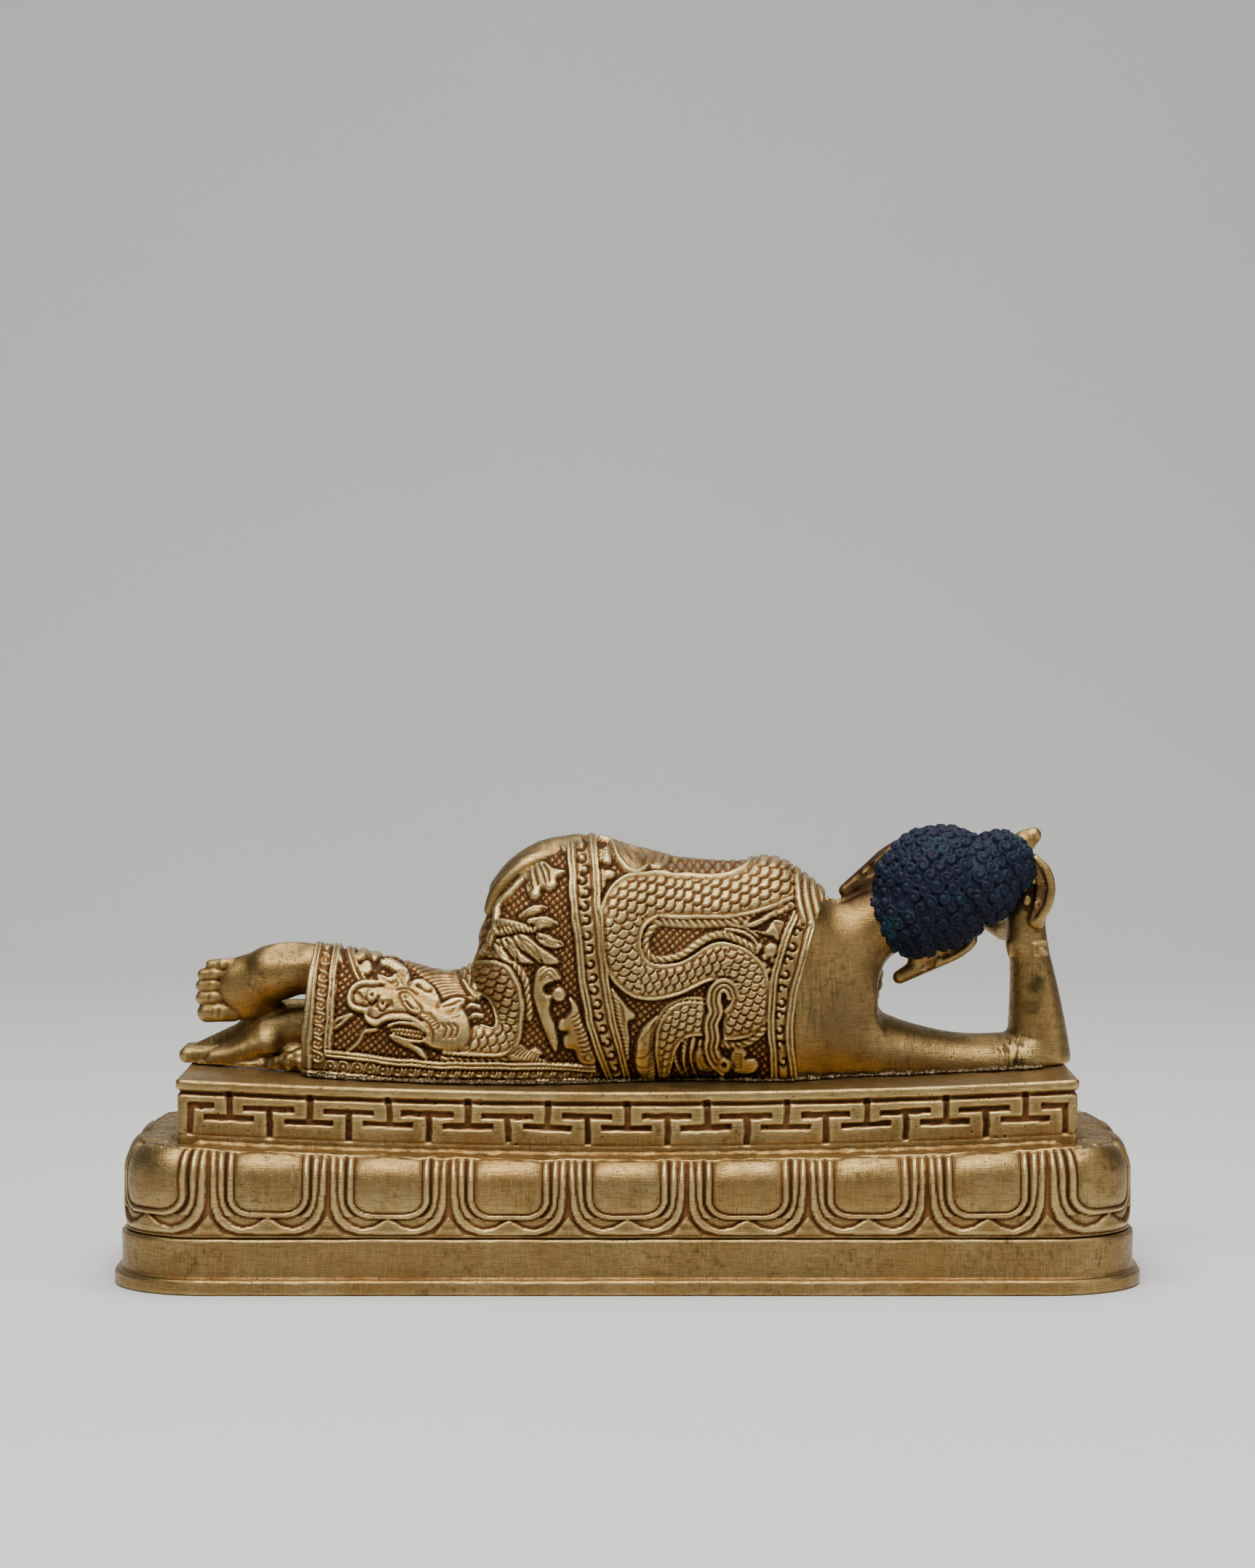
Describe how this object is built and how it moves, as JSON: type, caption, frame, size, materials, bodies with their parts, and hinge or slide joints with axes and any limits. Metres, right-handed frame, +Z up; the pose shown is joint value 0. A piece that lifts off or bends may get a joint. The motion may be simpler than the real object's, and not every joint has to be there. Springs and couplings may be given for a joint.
{
  "type": "reclining buddha statue",
  "caption": "Cast figure lying on one side with its head on a raised hand, on a couch with key fret over a lotus pedestal.",
  "frame": {"origin": "on the supporting surface, at the middle of the pedestal's underside", "axes": "+X along the figure towards its head, -Y the side of the figure's back, +Z up"},
  "size_m": [0.272, 0.104, 0.1201],
  "materials": {
    "figure_bronze": "gilt copper alloy, brushed and worn bright on the raised work, with brown patina in the grooves; the hair is dark blue matt paint",
    "pedestal_bronze": "gilt copper alloy, brushed, with brown patina in the grooves and small casting pits"
  },
  "bodies": {
    "root": {"figure": "figure_bronze", "pedestal": "pedestal_bronze"}
  },
  "joints": []
}
